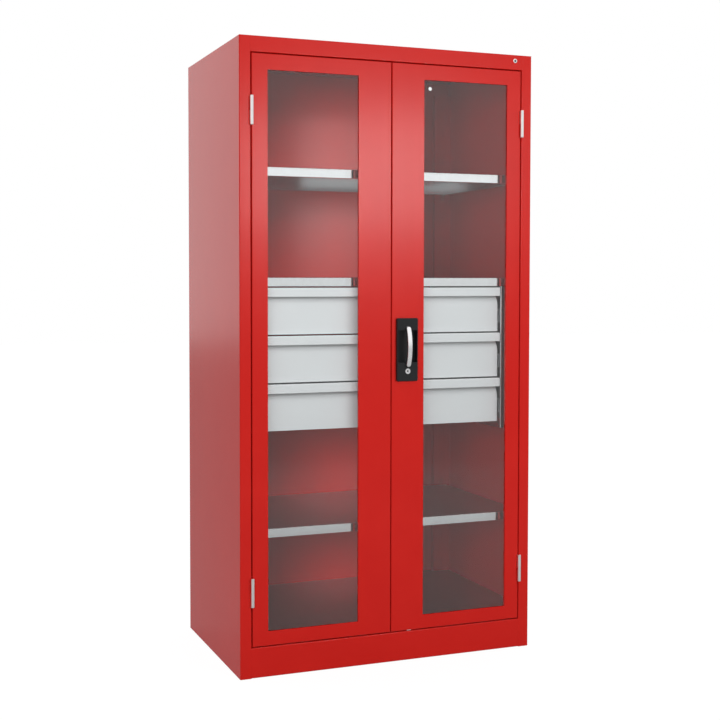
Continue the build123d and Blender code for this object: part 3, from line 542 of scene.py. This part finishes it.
def bow_cutters(pin):
    """Tools for the pocket round the lift pin, its open back and the pin's seats."""
    bpy.ops.object.select_all(action="DESELECT")
    bpy.ops.mesh.primitive_cylinder_add(vertices=POCKET_SIDES, radius=POCKET_REACH, depth=POCKET_WIDTH,
                                        location=pin, rotation=(0, radians(90), 0))
    pocket = bpy.context.object
    opening = block_between(pin + Vector((-POCKET_WIDTH / 2, -POCKET_FRONT, -POCKET_REACH)),
                            pin + Vector((POCKET_WIDTH / 2, POCKET_BACK, POCKET_TOP)))
    seats = block_between(*(Vector(corner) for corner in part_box("handle_lift_pin")))
    return pocket, opening, seats


def bow_strap():
    """The handle's bow, with a pocket behind for the spindle's eye and seats for the lift pin."""
    low, high = (Vector(corner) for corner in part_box("handle_bow"))
    reach = (high.z - low.z - BOW_THICK) / 2
    rise = high.y - low.y - BOW_THICK
    radius = (reach ** 2 + rise ** 2) / (2 * rise)
    length = 2 * (radius * asin(reach / radius) + BOW_TIP)
    crown = Vector(((low.x + high.x) / 2, low.y + BOW_THICK / 2, (low.z + high.z) / 2))
    bow = block(crown, (high.x - low.x, BOW_THICK, length))
    select_edges(bow, lambda a, b: abs(a.y - b.y) > BOW_THICK / 2)
    bpy.ops.mesh.bevel(offset=BOW_END_ROUND, segments=BOW_END_SEGMENTS, affect="EDGES")
    for i in range(1, BOW_CUTS):
        bpy.ops.mesh.select_all(action="SELECT")
        bpy.ops.mesh.bisect(plane_co=crown + UP * (length * (i / BOW_CUTS - 0.5)), plane_no=UP)
    bpy.ops.object.mode_set(mode="OBJECT")
    shape_by(bow, "BEVEL", width=BOW_EDGE, segments=BOW_EDGE_SEGMENTS, limit_method="ANGLE",
             angle_limit=radians(BOW_EDGE_ANGLE))
    shape_by(bow, "SIMPLE_DEFORM", deform_method="BEND", deform_axis="X", angle=length / radius)
    for cutter in bow_cutters(Vector((crown.x, high.y - BOW_THICK / 2, high.z - BOW_THICK / 2))):
        shape_by(bow, "BOOLEAN", operation="DIFFERENCE", object=cutter, solver="EXACT")
        bpy.data.objects.remove(cutter)
    bpy.ops.object.mode_set(mode="EDIT")
    bpy.ops.mesh.select_all(action="SELECT")
    bpy.ops.mesh.remove_doubles(threshold=MERGE)
    bpy.ops.mesh.normals_make_consistent(inside=False)
    settle(bow, "handle_bow_strap", "handle_lever", "satin_chrome")
    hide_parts("handle_bow")


# Studio

def sight_through(tree, rays):
    """1 for a straight look through a pane, with no mirror before it."""
    return both_of(tree, rays["Is Transmission Ray"], between(tree, rays["Glossy Depth"], 1.0, 0.0))


def studio_world():
    """White all round for sight and gloss, and a soft light that is weaker in front, where the lamps are."""
    world = bpy.data.worlds.new("studio")
    world.use_nodes = True
    bpy.context.scene.world = world
    tree = world.node_tree
    rays = tree.nodes.new("ShaderNodeLightPath").outputs
    heading = tree.nodes.new("ShaderNodeTexCoord").outputs["Generated"]
    parts = tree.nodes.new("ShaderNodeSeparateXYZ")
    tree.links.new(heading, parts.inputs[0])
    light = between(tree, parts.outputs["Y"], 0.0, BACK_LIGHT, start=-1.0)
    low_gloss = between(tree, parts.outputs["Y"], FRONT_GLOSS, WORLD_WHITE, start=-1.0, stop=0.0)
    gloss = between(tree, parts.outputs["Z"], low_gloss, WORLD_WHITE, stop=HIGH_GLOSS)
    unseen = between(tree, rays["Is Glossy Ray"], light, gloss)
    seen = either_of(tree, rays["Is Camera Ray"], sight_through(tree, rays))
    back = tree.nodes["Background"]
    back.inputs["Color"].default_value = (1, 1, 1, 1)
    tree.links.new(between(tree, seen, unseen, WORLD_WHITE), back.inputs["Strength"])


def softbox(name, place, target, size, power):
    """A rectangular lamp that points at a target."""
    data = bpy.data.lights.new(name, "AREA")
    data.shape = "RECTANGLE"
    data.size, data.size_y = size
    data.energy = power
    lamp = bpy.data.objects.new(name, data)
    lamp.location = place
    aim = bpy.data.objects.new(name + "_aim", None)
    aim.location = target
    track = lamp.constraints.new("TRACK_TO")
    track.target = aim
    track.track_axis = "TRACK_NEGATIVE_Z"
    track.up_axis = "UP_Y"
    for item in (lamp, aim):
        bpy.context.scene.collection.objects.link(item)
    return lamp


def nodes_of(slot):
    """A collection of the nodes that have one finish."""
    group = bpy.data.collections.new(slot)
    for row in frame["record"]["subparts"]:
        if row["material_slot"] == slot:
            group.objects.link(frame["nodes"][row["node"]])
    return group


def studio_lamps():
    """A soft key and a fill that aren't mirrored, lamps for the back wall and the paint's sheen, and one for
    the drawers in place of key and fill, so high that their grip strips throw a shadow."""
    key = softbox("key_softbox", KEY_PLACE, FRONT_MIDDLE, KEY_SIZE, KEY_POWER)
    fill = softbox("fill_softbox", FILL_PLACE, FRONT_MIDDLE, FILL_SIZE, FILL_POWER)
    wall = softbox("wall_softbox", WALL_PLACE, WALL_AIM, WALL_SIZE, WALL_POWER)
    above = softbox("drawer_softbox", DRAWER_PLACE, DRAWER_AIM, DRAWER_SIZE, DRAWER_POWER)
    sheen = softbox("sheen_softbox", SHEEN_PLACE, SHEEN_AIM, SHEEN_SIZE, SHEEN_POWER)
    for lamp in (key, fill, wall, above):
        lamp.visible_glossy = False
        lamp.visible_transmission = False
    sheen.visible_diffuse = False
    inside = bpy.data.collections.new("inside")
    inside.objects.link(frame["nodes"]["back_panel"])
    wall.light_linking.receiver_collection = inside
    sheen.light_linking.receiver_collection = nodes_of("red_paint")
    above.light_linking.receiver_collection = nodes_of("drawer_grey")
    spared = nodes_of("drawer_grey")
    for item in spared.collection_objects:
        item.light_linking.link_state = "EXCLUDE"
    for lamp in (key, fill):
        lamp.light_linking.receiver_collection = spared


def white_floor():
    """A floor that looks white, keeps the shadow and is dim in the paint's gloss."""
    bpy.ops.mesh.primitive_plane_add(size=FLOOR_SIZE, location=(0, 0, -FLOOR_DROP))
    floor = bpy.context.object
    floor.name = "floor"
    material, tree, shader = finish_base("white_floor", FLOOR_GREY, FLOOR_ROUGHNESS, specular=0.0)
    glow = tree.nodes.new("ShaderNodeEmission")
    glow.inputs["Strength"].default_value = FLOOR_GLOW
    rays = tree.nodes.new("ShaderNodeLightPath").outputs
    seen = either_of(tree, rays["Is Camera Ray"], sight_through(tree, rays))
    outside = between(tree, rays["Transmission Depth"], 1.0, 0.0)
    sight = between(tree, seen, 0.0, SIGHT_SHARE)
    in_pane = between(tree, both_of(tree, rays["Is Singular Ray"], outside), 0.0, PANE_SHARE)
    in_paint = between(tree, both_of(tree, rays["Is Glossy Ray"], outside), 0.0, PAINT_SHARE)
    mix = tree.nodes.new("ShaderNodeMixShader")
    tree.links.new(either_of(tree, sight, either_of(tree, in_pane, in_paint)), mix.inputs[0])
    tree.links.new(shader.outputs[0], mix.inputs[1])
    tree.links.new(glow.outputs[0], mix.inputs[2])
    tree.links.new(mix.outputs[0], tree.nodes["Material Output"].inputs["Surface"])
    floor.data.materials.append(material)


def photo_camera():
    """A camera at the photograph's place and heading."""
    data = bpy.data.cameras.new("camera")
    data.lens = CAMERA_LENS
    data.sensor_width = CAMERA_SENSOR
    data.shift_x, data.shift_y = CAMERA_SHIFT
    camera = bpy.data.objects.new("camera", data)
    camera.location = CAMERA_PLACE
    camera.rotation_euler = (radians(90 - CAMERA_PITCH), 0, radians(-CAMERA_YAW))
    bpy.context.scene.collection.objects.link(camera)
    bpy.context.scene.camera = camera


dress_nodes()
hinge_caps()
header_plug()
lock_face()
door_buffers()
rail_rivets()
carrier_edges()
bow_strap()
studio_world()
studio_lamps()
white_floor()
photo_camera()
bpy.context.scene.view_settings.view_transform = "Standard"
